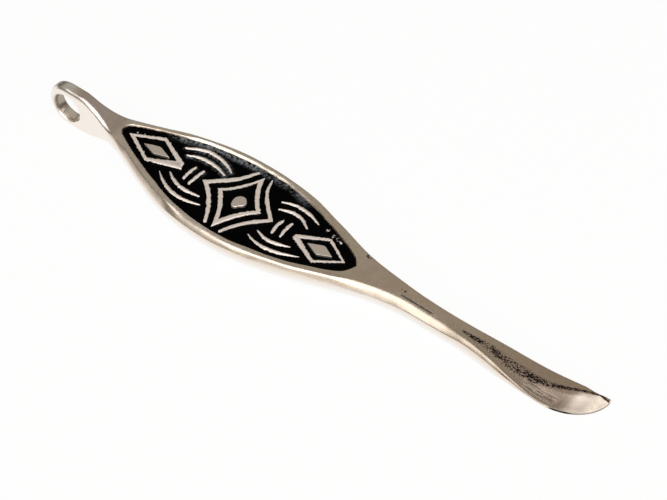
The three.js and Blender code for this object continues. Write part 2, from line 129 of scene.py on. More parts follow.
def front_edge(x):
    belly = SHANK_OFFSET - BELLY_DROP
    if x <= BELLY_X:
        return mix(centre_line(x) - half_width(x), belly, ease(x, BLADE_X, BELLY_X))
    across = min((x - BELLY_X) / (TIP_X - BELLY_X), 1.0)
    tip = back_edge(TIP_X) - EDGE_THICK
    return tip - (tip - belly) * math.sqrt(1 - across**2)


def crease(x):
    along = max(x - CREASE_START, 0) / (CREASE_END - CREASE_START)
    swept = CREASE_Y + (back_edge(CREASE_END) - CREASE_Y) * along**2
    return min(max(swept, front_edge(x) + 0.1), back_edge(x) - 0.1)


print("panel and blade in mm:", [round(back_edge(x) - front_edge(x), 2) for x in (0, BELLY_X)])

# %% [markdown]
# ## One cross-section
#
# The body is drawn as cross-sections that stand across its length. An elliptical arc
# rounds the far corners. The near ones are worn by the fingers: an arc leads from the top
# into a narrow steep face, and a tight arc into the side. They make the long white and
# dark lines along the tool, so they are given at a few places and eased between them: the
# side's bulge, the upper arc's radius, the drop to the side, the face's slope in degrees
# and the lower arc.

# %% One cross-section
CORNER_STEPS = 7


def corner_arc(before, corner, after, radius, shares=(0.46, 0.46)):
    to_before, to_after = before - corner, after - corner
    reach = min(radius, to_before.length * shares[0], to_after.length * shares[1])
    a, b = to_before.normalized() * reach, to_after.normalized() * reach
    turns = [math.pi / 2 * i / CORNER_STEPS for i in range(CORNER_STEPS + 1)]
    return [corner + a * (1 - math.sin(t)) + b * (1 - math.cos(t)) for t in turns]


def between(a, b, count):
    return [a.lerp(b, (i + 1) / (count + 1)) for i in range(count)]


NEAR_WEAR = [
    (-28.5, 0, 0.84, 0.41, 58, 0.84), (-26, 0, 0.78, 0.4, 58, 0.78), (-24, 0.1, 0.66, 0.4, 58, 0.45),
    (-22, 0.22, 0.7, 0.42, 58, 0.25), (-20, 0.22, 0.3, 0.42, 58, 0.2), (-17, 0.2, 0.5, 0.8, 55, 0.1),
    (-14, 0.2, 0.76, 0.87, 55, 0.08), (-11, 0.15, 0.5, 0.9, 57, 0.1), (-8, 0.09, 0.29, 0.9, 58, 0.14),
    (-4, 0, 2.1, 0.82, 42, 0.14), (0, 0.05, 1.54, 0.76, 44, 0.13), (4, 0.01, 1.13, 0.61, 49, 0.14),
    (8, -0.02, 0.56, 0.72, 64, 0.16), (12, 0.12, 0.51, 0.6, 62, 0.19),
    (16, 0.21, 0.52, 0.86, 62, 0.17),
    (20, 0.21, 1.21, 1.12, 59, 0.2), (24, 0.25, 1.3, 0.95, 48, 0.22), (28, 0.22, 1.5, 0.78, 38, 0.26),
    (32, 0.17, 1.6, 0.76, 40, 0.32), (36, 0.16, 0.85, 0.45, 40, 0.38), (40, 0.12, 0.6, 0.35, 42, 0.3),
    (44, 0.03, 0.3, 0.3, 62, 0.16), (47, 0, 0.14, 0.09, 58, 0.14), (54.7, 0, 0.1, 0.07, 58, 0.1),
]
UNDERSIDE_SLOPE = math.radians(58)


def worn_corner(radius, drop, tight, start=0.0, steep=UNDERSIDE_SLOPE):
    turns = [mix(start, steep, i / 5) for i in range(6)]
    s, c = math.sin(start), math.cos(start)
    steps = [(radius * (math.sin(t) - s), radius * (c - math.cos(t))) for t in turns]
    face = max((drop - steps[-1][1]) / math.sin(steep), 0.02)
    run, fall = steps[-1][0] + face * math.cos(steep), steps[-1][1] + face * math.sin(steep)
    run, fall = run - tight * math.sin(steep), fall + tight * math.cos(steep)
    turns = [mix(steep, math.pi / 2, i / 3) for i in range(4)]
    steps += [(run + tight * math.sin(t), fall - tight * math.cos(t)) for t in turns]
    return [(steps[-1][0] - across, down) for across, down in steps]


def cross_section(x):
    rise = (EYE_R - THICKNESS / 2) * (1 - ease(x, NECK_LEVEL_X, NECK_END_X))
    ground, ground_low = ease(x, BLADE_X, BELLY_X), ease(x, BLADE_X + 2.5, BELLY_X)
    tip_fall = 0.2 * max(x - 51.4, 0)
    taper = max((x - TIP_X) / 17 + 1, 0) ** 2
    top, front_top = THICKNESS + rise - tip_fall, THICKNESS + rise - EDGE_DROP * ground
    front_low = -rise + (THICKNESS - EDGE_DROP - EDGE_THICK) * ground_low
    back_low = -rise + (THICKNESS - 0.95) * taper

    far, low = mix(0.45, 0.5, ease(x, 0, 28)), mix(0.45, 0.12, ground)
    bulge, near, drop, steep, tight = eased(x, NEAR_WEAR)
    near_low = mix(mix(0.84, 0.5, ease(x, EYE_X, NECK_END_X)), 0.1, ground)
    side, steep = front_edge(x) - bulge, math.radians(steep)
    level = mix(centre_line(x) + half_width(x) * 0.3, crease(x), ease(x, 30, 37))
    a, c = Vector((far_edge(x), top)), Vector((level, top))
    e, f = Vector((side, front_low)), Vector((far_edge(x), back_low))

    back = corner_arc(f, a, c, far, (0.46, 0.8))
    slope = (top - front_top) / (level - side)
    worn = worn_corner(near, drop, tight * mix(1, 0.4, ground), math.atan(slope), steep)
    begin = front_top + slope * worn[0][0]
    front = [Vector((side + across, begin - down)) for across, down in worn]
    worn = worn_corner(near_low, 0.49 * near_low, near_low)
    front_under = [Vector((side + across, front_low + down)) for across, down in reversed(worn)]
    back_under = corner_arc(e, f, a, low)
    flat, bevel = between(back[-1], c, 2), between(c, front[0], 4)
    over = [*flat, c, *bevel]
    shares = [(p - back[-1]).length / (front[0] - back[-1]).length for p in over]
    under = [back_under[0].lerp(front_under[-1], min(s, 1)) for s in reversed(shares)]
    hollow = 0.03 * ground * ease(TIP_X - x, 0, 2)
    for i, point in enumerate(bevel):
        point.y -= hollow * math.sin(math.pi * (i + 1) / 5)
    return [
        *back, *over, *front, *between(front[-1], front_under[0], 2),
        *front_under, *under, *back_under, *between(back_under[-1], back[0], 3),
    ]


print("points in a cross-section:", len(cross_section(0)))

# %% [markdown]
# ## Rolling a sheet into a skin
#
# A skin over many cross-sections is a sheet of squares that is rolled into a tube. The
# grid operator makes the sheet, every point of it is moved to its place on a ring, and
# merging the doubles closes the seam. Filling the holes closes the two ends. Each piece
# has its points and faces sorted by place, so that every run gives the same mesh.

# %% Rolling a sheet into a skin
def rolled(rings, capped=True):
    shape = bmesh.new()
    along, around = len(rings) - 1, len(rings[0])
    bmesh.ops.create_grid(shape, x_segments=along, y_segments=around, size=1)
    for vert in shape.verts:
        i = round((vert.co.x + 1) / 2 * along)
        j = round((vert.co.y + 1) / 2 * around) % around
        vert.co = rings[i][j]
    bmesh.ops.remove_doubles(shape, verts=shape.verts, dist=1e-6)
    if capped:
        rims = [edge for edge in shape.edges if edge.is_boundary]
        bmesh.ops.holes_fill(shape, edges=rims, sides=0)
    bmesh.ops.recalc_face_normals(shape, faces=shape.faces)
    return shape


SORTED_ALONG = Vector((1, 0.7391, 0.2718))


def in_scene(name, data):
    thing = bpy.data.objects.new(name, data)
    bpy.context.scene.collection.objects.link(thing)
    return thing


def as_piece(shape, name):
    shape.verts.sort(key=lambda vert: vert.co.dot(SORTED_ALONG))
    shape.faces.sort(key=lambda face: face.calc_center_median().dot(SORTED_ALONG))
    mesh = bpy.data.meshes.new(name)
    shape.to_mesh(mesh)
    shape.free()
    return in_scene(name, mesh)


# %% [markdown]
# ## The body blank
#
# The real blank is one casting, filed and polished by hand. Here its cross-sections are
# set closely where the shape turns quickly, at the blade and the tip. The eye's round
# end is the neck's own cross-section, spun half a turn about the bore's axis, so the
# neck flows into the ring without a seam.

# %% The body blank
stations = list(np.arange(EYE_X, BLADE_X, 0.3)) + list(np.arange(BLADE_X, BELLY_X, 0.25))
stations += [BELLY_X + (TIP_X - BELLY_X) * math.sin(math.pi / 2 * i / 30) for i in range(31)]
rings = [[Vector((x, p.x, p.y)) for p in cross_section(x)] for x in stations]
blank = rolled(rings, capped=False)

upper = [v for v in blank.verts if abs(v.co.x - EYE_X) < 1e-5 and v.co.z > EYE_Z - 1e-4]
upper_edges = [e for e in blank.edges if all(v in upper for v in e.verts)]
bmesh.ops.spin(
    blank, geom=upper_edges, cent=(EYE_X, 0, EYE_Z), axis=(0, -1, 0),
    angle=math.pi, steps=40,
)
bmesh.ops.remove_doubles(blank, verts=blank.verts, dist=1e-4)
rims = [edge for edge in blank.edges if edge.is_boundary]
bmesh.ops.holes_fill(blank, edges=rims, sides=0)
bmesh.ops.recalc_face_normals(blank, faces=blank.faces)
body = as_piece(blank, "casting")
print("blank:", len(body.data.polygons), "faces")

# %% [markdown]
# ## Cutting one shape with another
#
# A founder would cast the recess and drill the bore. Here both are cut with a boolean
# modifier, whose result becomes the new mesh.

# %% Cutting one shape with another
def cut(piece, cutter):
    modifier = piece.modifiers.new("cut", "BOOLEAN")
    modifier.operation, modifier.solver, modifier.object = "DIFFERENCE", "EXACT", cutter
    bpy.context.view_layer.update()
    result = bpy.data.meshes.new_from_object(
        piece.evaluated_get(bpy.context.evaluated_depsgraph_get())
    )
    piece.modifiers.clear()
    piece.data = result
    bpy.data.objects.remove(cutter)
    return len(result.polygons)


# %% [markdown]
# ## The bore
#
# The bore of the eye was drilled and its mouths broken with a countersink. Its cutter is
# half a profile, spun a full turn about the axis of the bore, wider at both mouths.

# %% The bore
bore = bmesh.new()
mouth = BORE_R + 0.12
profile = [(0, -1.5), (mouth + 0.5, -1.4), (mouth + 0.03, -EYE_HALF - 0.03)]
profile += [(BORE_R + 0.04, -EYE_HALF + 0.06), (BORE_R, -EYE_HALF + 0.2)]
profile += [(r, -y) for r, y in reversed(profile)]
points = [bore.verts.new((EYE_X + r, y, EYE_Z)) for r, y in profile]
sides = [bore.edges.new(pair) for pair in zip(points, points[1:])]
bmesh.ops.spin(
    bore, geom=sides, cent=(EYE_X, 0, EYE_Z), axis=(0, 1, 0),
    angle=2 * math.pi, steps=72, use_merge=True,
)
bmesh.ops.remove_doubles(bore, verts=bore.verts, dist=1e-5)
bmesh.ops.recalc_face_normals(bore, faces=bore.faces)
print("body with its bore:", cut(body, as_piece(bore, "bore_cutter")), "faces")

# %% [markdown]
# ## The recess
#
# The recess is a leaf inside the leaf, a little fuller on the near side. A sloping
# shoulder leads down into it: on the far side it is broad and catches the light as a
# white band beside the black, elsewhere it is narrow. It was carved by hand in the model
# for the mould, so offsets from the plain leaf are eased along both sides and its foot
# wanders by a few hundredths more.

# %% The recess
def wander(x, y, seed, size, scale=1.1):
    return size * noise.noise(Vector((x * scale, y * scale, seed)))


RECESS_SHAPES = {
    ("eye", 1): (21.0, 1.79, 0.985, 5.95), ("eye", -1): (20.53, 1.9, 0.983, 6.1),
    ("tip", 1): (18.2, 2.01, 0.844, 5.97), ("tip", -1): (17.96, 1.14, 0.474, 6.12),
}
CARVED = [
    (-19, 0.19, 0.12), (-14, 0.18, 0.08), (-11, 0.24, 0.06), (-8, 0.26, 0.15), (-3, 0.2, 0.12),
    (0, 0.06, 0.09), (3, 0.1, 0.25), (6, -0.02, 0.16), (8, -0.04, 0.18), (10.5, -0.22, 0.18),
    (13.5, -0.2, 0.03), (15.5, -0.04, 0.05), (17, 0.02, 0.16),
]
SHOULDER_DROP, END_SHOULDER = 0.32, 0.12


def recess_half(x, side):
    reach, bow, end, widest = RECESS_SHAPES["eye" if x < 0 else "tip", side]
    last = RECESS_EYE if x < 0 else RECESS_TIP
    round_end = 0.6 if x < 0 else 1.0
    blunt = math.sqrt(max(1 - max((abs(x) - last) / round_end + 1, 0) ** 2, 0))
    plain = widest * max(1 - (abs(x) / reach) ** bow, 0) ** end
    return (plain + eased(x, CARVED)[0 if side > 0 else 1]) * blunt


def shoulder_width(x, side):
    if side < 0:
        return 0.22
    return mix(0.13, 0.38, ease(x, -13, -10.5)) - 0.24 * ease(x, 6, 10)


def recess_outline(foot, height, steps=360):
    points = []
    for i in range(steps):
        turn = 2 * math.pi * (i + 0.5) / steps
        last = RECESS_EYE if math.cos(turn) < 0 else RECESS_TIP
        side = 1 if math.sin(turn) > 0 else -1
        x = last * math.cos(turn)
        half = recess_half(x, side)
        grown = shoulder_width(x, side) * ((1 - foot) if side > 0 else -foot)
        ragged = wander(x, side, 3, 0.04, 0.8) + wander(x, side, 5, 0.08, 5.0) * foot
        half = max(half + (grown + ragged) * min(half / 1.2, 1), 0.01)
        reach = x * (1 + END_SHOULDER * (1 - foot) / last)
        points.append(Vector((reach, centre_line(x) + side * half, height)))
    return points


layers = [recess_outline(0, THICKNESS + 0.6), recess_outline(0, THICKNESS + 0.02)]
for down in (0.04, 0.12, 0.25, 0.4, 0.6, 0.8, 1):
    layers.append(recess_outline(down, THICKNESS - SHOULDER_DROP * down**1.4))
layers.append(recess_outline(1.1, RECESS_FLOOR))
print("body with its recess:", cut(body, as_piece(rolled(layers), "recess_cutter")), "faces")

# %% [markdown]
# ## Smooth faces and crisp edges
#
# Polished metal has soft surfaces between a few crisp edges. Faces are shaded smooth and
# only edges sharper than an angle stay sharp. Weighted normals keep the large flat faces
# flat right up to the rounding, so no false shadow crosses them.

# %% Smooth faces and crisp edges
def finish_shape(piece, angle=38):
    mesh = piece.data
    mesh.shade_smooth()
    mesh.set_sharp_from_angle(angle=math.radians(angle))
    weighted = piece.modifiers.new("even light", "WEIGHTED_NORMAL")
    weighted.keep_sharp = True
    mesh.transform(TO_FRAME)
    return piece


finish_shape(body)
print("casting:", [round(v * 1000, 1) for v in body.dimensions], "mm")

# %% [markdown]
# ## The raised lines
#
# The ornament's lines stand up from the recess like low walls. A line here is a left
# and a right edge with a small profile laid across: upright sides, worn shoulders and a
# top. The straight figures were rubbed flat, the arcs are still half-round. Both edges
# are slightly ragged, as cast lines are.

# %% A line from its two edges
def line_profile(roundness):
    flat = [(-1.12, 0.95), (-1.03, 0.24), (-0.97, 0.06), (-0.86, 0.015), (-0.5, 0.0), (-0.17, 0.0)]
    arched = [(-1.12, 0.95), (-1.03, 0.36), (-0.95, 0.25), (-0.82, 0.15), (-0.5, 0.05), (-0.17, 0.005)]
    half = [(v, mix(a, b, roundness)) for (v, a), (_, b) in zip(flat, arched)]
    return half + [(-v, drop) for v, drop in reversed(half)]


def ragged(point, seed):
    return wander(point.x, point.y, seed, 0.05, 1.8) + wander(point.x, point.y, seed + 1, 0.15, 5.0)


def raised(lefts, rights, drops, roundness, closed=False):
    rings = []
    for left, right, lowered in zip(lefts, rights, drops):
        ring = []
        for across, drop in line_profile(roundness):
            place = left.lerp(right, (across + 1) / 2)
            ring.append(Vector((place.x, place.y, LINE_TOP - drop - lowered)))
        rings.append(ring)
    if closed:
        rings.append(rings[0])
    return rolled(rings, capped=not closed)


# %% [markdown]
# ## Curves through a few knots
#
# A spline through a few knots gives each curve. Its points stand closer at the
# ends, where the line's width shrinks to a round end. At a corner the two edges meet in
# a mitre.

# %% Curves through a few knots
def along_knots(knots, count=60, closed=False):
    knots = [Vector(k) for k in knots]
    spans = len(knots) if closed else len(knots) - 1
    ghost = [knots[0] * 2 - knots[1], *knots, knots[-1] * 2 - knots[-2]]
    if closed:
        ghost = [knots[-1], *knots, knots[0], knots[1]]
    path = []
    for i in range(count):
        share = i / count if closed else (1 - math.cos(math.pi * i / (count - 1))) / 2
        k = min(int(share * spans), spans - 1)
        t, (a, b, c, d) = share * spans - k, ghost[k : k + 4]
        bend = (c - a) * t + (2 * a - 5 * b + 4 * c - d) * t**2 + (3 * b - a - 3 * c + d) * t**3
        path.append(b + 0.5 * bend)
    return path


def mitres(path):
    result = []
    for i, point in enumerate(path):
        before = path[i - 1] if i else point * 2 - path[1]
        after = path[i + 1] if i < len(path) - 1 else point * 2 - path[-2]
        arrive, leave = (point - before).normalized(), (after - point).normalized()
        across = Vector((-arrive.y - leave.y, arrive.x + leave.x)).normalized()
        result.append(across / max(across.dot(Vector((-arrive.y, arrive.x))), 0.5))
    return result


HALF_WIDTH = 0.47


def edges_of(path, widths, taper):
    gone = [0.0]
    for a, b in zip(path, path[1:]):
        gone.append(gone[-1] + (b - a).length)
    start, middle, end = widths
    lefts, rights, drops = [], [], []
    for point, across, so_far in zip(path, mitres(path), gone):
        share = so_far / gone[-1]
        near_end, tip = (start, so_far) if share < 0.5 else (end, gone[-1] - so_far)
        full = math.sin(math.pi / 2 * min(min(share, 1 - share) / taper, 1))
        half = mix(near_end, middle, full) * HALF_WIDTH
        blunt = max(1 - tip / (near_end / 2), 0)
        half *= math.sqrt(max(1 - blunt**2, 0.01))
        lefts.append(point - across * (half + ragged(point, 2) * min(half * 3, 1)))
        rights.append(point + across * (half + ragged(point, 12) * min(half * 3, 1)))
        drops.append(0.07 * (1 - full) + 0.05 * blunt**2)
    return lefts, rights, drops


# %% [markdown]
# ## The drawing of the ornament
#
# The figures are traditional geometric ones: a middle diamond with sagging sides between
# two chevrons, a lozenge at each end and pairs of arcs crossed by two short bars. Each
# stroke is given by its knots and its width at the start, the middle and the end.

# %% Strokes of the ornament
arcs = [
    ([(-11.55, 2.69), (-9.7, 3.76), (-7.8, 4.18), (-5.6, 3.84), (-4.05, 3.06)], (0.42, 0.66, 0.36)),
    ([(-10.6, 1.89), (-8.6, 2.69), (-6.3, 2.72), (-4.43, 2.21)], (0.3, 0.62, 0.34)),
    ([(-11.49, -2.37), (-9.79, -3.42), (-7.94, -4.08), (-5.89, -4.14), (-3.64, -3.52)],
     (0.2, 0.62, 0.34)),
    ([(-10.39, -1.57), (-8.64, -2.52), (-6.94, -2.78), (-4.64, -2.5)], (0.25, 0.66, 0.36)),
    ([(3.92, 3.27), (5.52, 3.87), (7.32, 3.97), (8.82, 3.67), (10.07, 3.2)], (0.28, 0.62, 0.24)),
    ([(4.37, 2.09), (6.02, 2.71), (7.72, 2.67), (9.37, 1.75)], (0.36, 0.6, 0.3)),
    ([(4.07, -3.52), (5.42, -3.92), (7.22, -3.97), (9.22, -3.47), (11.52, -2.47)], (0.25, 0.62, 0.14)),
    ([(4.62, -2.3), (6.02, -2.69), (7.52, -2.62), (9.67, -1.87)], (0.28, 0.66, 0.14)),
]
bars = [
    ([(-8.2, -1.6), (-8.33, -0.35), (-8.2, 1.15)], (0.44, 0.48, 0.3)),
    ([(-7.18, -1.85), (-7.1, -0.25), (-6.98, 1.25)], (0.42, 0.48, 0.44)),
    ([(6.31, -1.65), (6.03, -0.2), (6.18, 1.1)], (0.36, 0.5, 0.32)),
    ([(7.53, -1.45), (7.33, -0.1), (7.34, 1.4)], (0.3, 0.5, 0.4)),
]
chevrons = [
    ([(-1.28, 5.43), (-2.53, 3.18), (-3.95, 1.53), (-5.65, -0.11)],
     [(-5.65, -0.11), (-3.9, -1.63), (-2.3, -3.71), (-1.35, -5.45)], (0.38, 0.62, 0.48)),
    ([(0.75, 5.4), (1.48, 3.5), (2.98, 1.7), (4.95, 0)],
     [(4.95, 0), (3.08, -1.9), (1.63, -4.15), (1.02, -5.6)], (0.25, 0.55, 0.45)),
]
strokes = [(along_knots(knots), widths, 1.0) for knots, widths in arcs]
strokes += [(along_knots(knots, 32), widths, 0.3) for knots, widths in bars]
strokes += [(along_knots(a, 36) + along_knots(b, 36)[1:], widths, 0.05) for a, b, widths in chevrons]
edges = [(*edges_of(path, widths, 0.3 if r < 0.1 else 0.45), r) for path, widths, r in strokes]
lines = [raised(lefts, rights, drops, r) for lefts, rights, drops, r in edges]
print("open strokes:", len(lines))

# %% [markdown]
# ## The closed figures
#
# A lozenge is drawn by its outer and its inner corners, so each side keeps its own
# width. The eye's lozenge ends in a small fork, and the diamond's sides sag inwards by
# its last two numbers.

# %% The closed figures
def outline(corners, sag, count=26):
    corners = [Vector(c) for c in corners]
    middle = sum(corners, Vector((0, 0))) / len(corners)
    path = []
    for a, b in zip(corners, corners[1:] + corners[:1]):
        pull = (a + b) / 2 + (middle - (a + b) / 2).normalized() * (2 * sag)
        shares = [i / count for i in range(count)]
        path += [a * (1 - t) ** 2 + pull * (2 * t * (1 - t)) + b * t**2 for t in shares]
    return path


figures = {
    "eye_lozenge": (
        [(-18.7, 0.14), (-14.4, 2.53), (-9.67, 0.5), (-9.75, 0), (-9.37, -0.44), (-14.1, -2.17)],
        [(-17.78, 0.24), (-14.32, 2.01), (-10.83, 0.28), (-10.84, 0.27), (-10.83, 0.26),
         (-14.11, -1.66)],
        (0, 0)),
    "diamond": (
        [(-3.75, -0.06), (-0.22, 5.08), (3.2, 0.09), (-0.24, -5.55)],
        [(-3.05, 0.05), (-0.43, 3.92), (2.46, 0.07), (-0.33, -3.95)],
        (0.42, 0.28)),
    "tip_lozenge": (
        [(8.73, -0.5), (8.82, 0.18), (12.86, 2.36), (16.55, 0.33), (13.2, -2.28)],
        [(9.62, -0.02), (9.63, -0.01), (12.83, 1.91), (16.08, 0.26), (13.19, -1.82)],
        (0, 0)),
}
frames = {}
for name, (outer, inner, sags) in figures.items():
    outer_path, inner_path = outline(outer, sags[0]), outline(inner, sags[1])
    lefts = [p + (p - q).normalized() * ragged(p, 2) for p, q in zip(outer_path, inner_path)]
    rights = [q + (q - p).normalized() * ragged(q, 12) for p, q in zip(outer_path, inner_path)]
    edges.append((lefts, rights, None, 0))
    lines.append(raised(lefts, rights, [0] * len(lefts), 0.05, closed=True))
    frames[name] = [(a + b) / 2 for a, b in zip(lefts, rights)]
print("closed figures:", len(frames))

# %% [markdown]
# ## The cores
#
# Each lozenge holds a small solid lozenge and the diamond a lopsided dot. Each starts
# as one flat face, is extruded to its height, and its top edge is bevelled.

# %% The cores
def core(path, top, wear):
    shape = bmesh.new()
    face = shape.faces.new([shape.verts.new((p.x, p.y, RECESS_FLOOR - 0.1)) for p in path])
    swept = bmesh.ops.extrude_face_region(shape, geom=[face])["geom"]
    lifted = [g for g in swept if isinstance(g, bmesh.types.BMVert)]
    for vert in lifted:
        vert.co.z = top
    rim = [e for e in shape.edges if all(v in lifted for v in e.verts)]
    bmesh.ops.bevel(shape, geom=rim, offset=wear, segments=3, profile=0.5, affect="EDGES", material=-1)
    bmesh.ops.recalc_face_normals(shape, faces=shape.faces)
    return shape


eye_core = [(-16.03, 0), (-15.03, 0.44), (-14.13, 0.8), (-13.78, 0.78), (-11.93, 0.14)]
eye_core += [(-13.88, -0.58), (-14.23, -0.54)]
tip_core = [(10.85, -0.08), (12.72, 0.86), (13.05, 0.87), (14.7, 0.05), (13, -0.84), (12.7, -0.8)]
dot = [(-0.75, -1.01), (-0.98, -0.36), (-0.96, 0.26), (-0.61, 0.72), (-0.03, 0.89)]
dot += [(0.53, 0.59), (0.79, 0.06), (0.65, -0.43), (0.3, -0.72), (0.05, -1.11), (-0.36, -1.26)]
for knots in (eye_core, tip_core):
    lines.append(core([Vector(k) for k in knots], LINE_TOP - 0.02, 0.06))
lines.append(core(along_knots(dot, 44, closed=True), LINE_TOP + 0.02, 0.12))
print("pieces of the drawing:", len(lines))

# %% Joining the lines into one piece
ornament = bmesh.new()
for shape in lines:
    holder = bpy.data.meshes.new("line")
    shape.to_mesh(holder)
    shape.free()
    ornament.from_mesh(holder)
    bpy.data.meshes.remove(holder)
raised_lines = finish_shape(as_piece(ornament, "raised_lines"), 45)
print("raised lines:", len(raised_lines.data.polygons), "faces")

# %% [markdown]
# ## The enamel
#
# Enamel is laid in as wet grains and melts to glass, so its surface creeps up against
# every wall it meets. Along the far side of the recess and beside the arcs those slopes
# carry a painted sheen: the finish colours them grey and makes them metallic. The fill is
# a fine grid. A search tree finds the distance to the nearest line, which gives its height
# and where its painted sheen lies.

# %% Walls that the enamel meets
def closely(path, closed, step=0.06):
    ends = list(zip(path, path[1:] + path[:1])) if closed else list(zip(path, path[1:]))
    points = []
    for a, b in ends:
        count = max(int((b - a).length / step), 1)
        points += [a.lerp(b, i / count) for i in range(count)]
    return points


walls = []
for lefts, rights, drops, roundness in edges:
    for side in (lefts, rights):
        walls += [(p, roundness) for p in closely(side, drops is None)]
wall_tree = kdtree.KDTree(len(walls))
for number, (point, roundness) in enumerate(walls):
    wall_tree.insert((point.x, point.y, 0), number)
wall_tree.balance()
print("points along the walls:", len(walls))

# %% Which part of the ground a point is in
def inside(point, outline):
    x, y, odd = point.x, point.y, False
    for a, b in zip(outline, outline[1:] + outline[:1]):
        if (a.y > y) != (b.y > y) and x < a.x + (y - a.y) / (b.y - a.y) * (b.x - a.x):
            odd = not odd
    return odd


recess_edge = [Vector((p.x, p.y)) for p in recess_outline(0.72, 0, 240)]


def part_of_ground(point):
    for name, path in frames.items():
        if inside(point, path):
            return name
    return "field" if inside(point, recess_edge) else None


# %% Filling the recess with enamel
def from_rim(x, y):
    side = 1 if y > centre_line(x) else -1
    return max(recess_half(x, side) - side * (y - centre_line(x)), 0), side


def enamel_height(x, y):
    _, number, away = wall_tree.find((x, y, 0))
    roundness = walls[number][1]
    creep = mix(0.33, 0.24, roundness) * math.exp(-away / mix(0.09, 0.16, roundness))
    rim, side = from_rim(x, y)
    climb = (0.21 if side > 0 else 0.1) * math.exp(-rim / 0.42)
    uneven = wander(x, y, 5, 0.03, 0.9) + wander(x, y, 6, 0.03, 3.0)
    return ENAMEL_LEVEL - 0.1 + max(creep, climb) + uneven


# Where the enamel gets its painted sheen: beside the far rim and beside the arcs.
def painted_gleam(x, y):
    rim, side = from_rim(x, y)
    by_rim = ease(rim, 1.0, 0.1) * ease(x, -15, -12) * ease(x, 8, 4.5) * mix(1, 0.5, ease(x, -3, 0))
    _, number, away = wall_tree.find((x, y, 0))
    by_arc = 0.35 * walls[number][1] * ease(away, 0.35, 0.1) * ease(x, -3, -5) * ease(y, -1, 1)
    return max(by_rim if side > 0 else 0, by_arc)


def enamel_part(wanted, low, high, step=0.1):
    shape = bmesh.new()
    size = high - low
    columns, rows = int(size.x / step), int(size.y / step)
    bmesh.ops.create_grid(shape, x_segments=columns, y_segments=rows, size=0.5)
    for vert in shape.verts:
        vert.co = Vector((low.x + (vert.co.x + 0.5) * size.x, low.y + (vert.co.y + 0.5) * size.y, 0))
    stray = [f for f in shape.faces if part_of_ground(f.calc_center_median().xy) != wanted]
    bmesh.ops.delete(shape, geom=stray, context="FACES")
    for vert in shape.verts:
        vert.co.z = enamel_height(vert.co.x, vert.co.y)
    below = bmesh.ops.extrude_face_region(shape, geom=list(shape.faces), use_keep_orig=True)["geom"]
    for vert in (g for g in below if isinstance(g, bmesh.types.BMVert)):
        vert.co.z = RECESS_FLOOR + 0.02
    bmesh.ops.recalc_face_normals(shape, faces=shape.faces)
    return shape


def box_of(path):
    xs, ys = [p.x for p in path], [p.y for p in path]
    return Vector((min(xs), min(ys))), Vector((max(xs), max(ys)))


enamel = {}
for name, path in {"field": recess_edge, **frames}.items():
    enamel[name] = finish_shape(as_piece(enamel_part(name, *box_of(path)), name + "_fill"), 50)
    print(name, "enamel:", len(enamel[name].data.polygons), "faces")

# %% [markdown]
# ## Pieces on the frame
#
# The tool has no joint, so everything rides on the one body. The casting and its raised
# lines stand for the CAD casting, and each fill for its own.

# %% Pieces on the frame
for piece in (body, raised_lines, *enamel.values()):
    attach(piece, "root")
for piece in (body, raised_lines):
    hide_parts("cast_body")
stands_for = {"field": "field_enamel", "eye_lozenge": "eye_lozenge_enamel"}
stands_for |= {"diamond": "centre_diamond_enamel", "tip_lozenge": "tip_lozenge_enamel"}
for name, node in stands_for.items():
    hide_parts(node)
print("pieces on the frame:", 2 + len(enamel))

# %% [markdown]
# ## Writing a finish as sums
#
# A finish is made of small sums over the surface, such as 1 - mask or grain * 0.3. The
# class below wraps one output of a node and turns such a sum into Math nodes. Everything
# else comes from one method of a bench that takes a node's type, settings and inputs. A
# finish is a bench that also knows places on the piece in millimetres.

# %% A wire that can be reckoned with
class Wire:
    def __init__(self, bench, socket):
        self.bench, self.socket = bench, socket

    def sum(self, operation, *values):
        return self.bench.node("ShaderNodeMath", {"operation": operation}, dict(enumerate(values)))

    def __add__(self, other):
        return self.sum("ADD", self, other)

    def __mul__(self, other):
        return self.sum("MULTIPLY", self, other)

    def __sub__(self, other):
        return self.sum("SUBTRACT", self, other)

    def __rsub__(self, other):
        return self.sum("SUBTRACT", other, self)

    __radd__, __rmul__ = __add__, __mul__

    def most(self, other):
        return self.sum("MAXIMUM", self, other)


# %% A bench for nodes
class Bench:
    def __init__(self, owner):
        owner.use_nodes = True
        self.tree = owner.node_tree

    def node(self, kind, settings, inputs, output=0):
        node = self.tree.nodes.new(kind)
        for key, value in settings.items():
            if key == "stops":
                for stop, (position, colour) in zip(node.color_ramp.elements, value):
                    stop.position, stop.color = position, (*colour, 1)
            else:
                setattr(node, key, value)
        for key, value in inputs.items():
            self.feed(node.inputs[key], value)
        return Wire(self, node.outputs[output])

    def feed(self, socket, value):
        if isinstance(value, Wire):
            self.tree.links.new(value.socket, socket)
        else:
            socket.default_value = (*value, 1) if socket.type == "RGBA" else value

    def vector(self, operation, *values, output=0):
        inputs = dict(enumerate(values))
        return self.node("ShaderNodeVectorMath", {"operation": operation}, inputs, output)

    def part(self, vector, axis):
        return self.node("ShaderNodeSeparateXYZ", {}, {"Vector": vector}, axis)


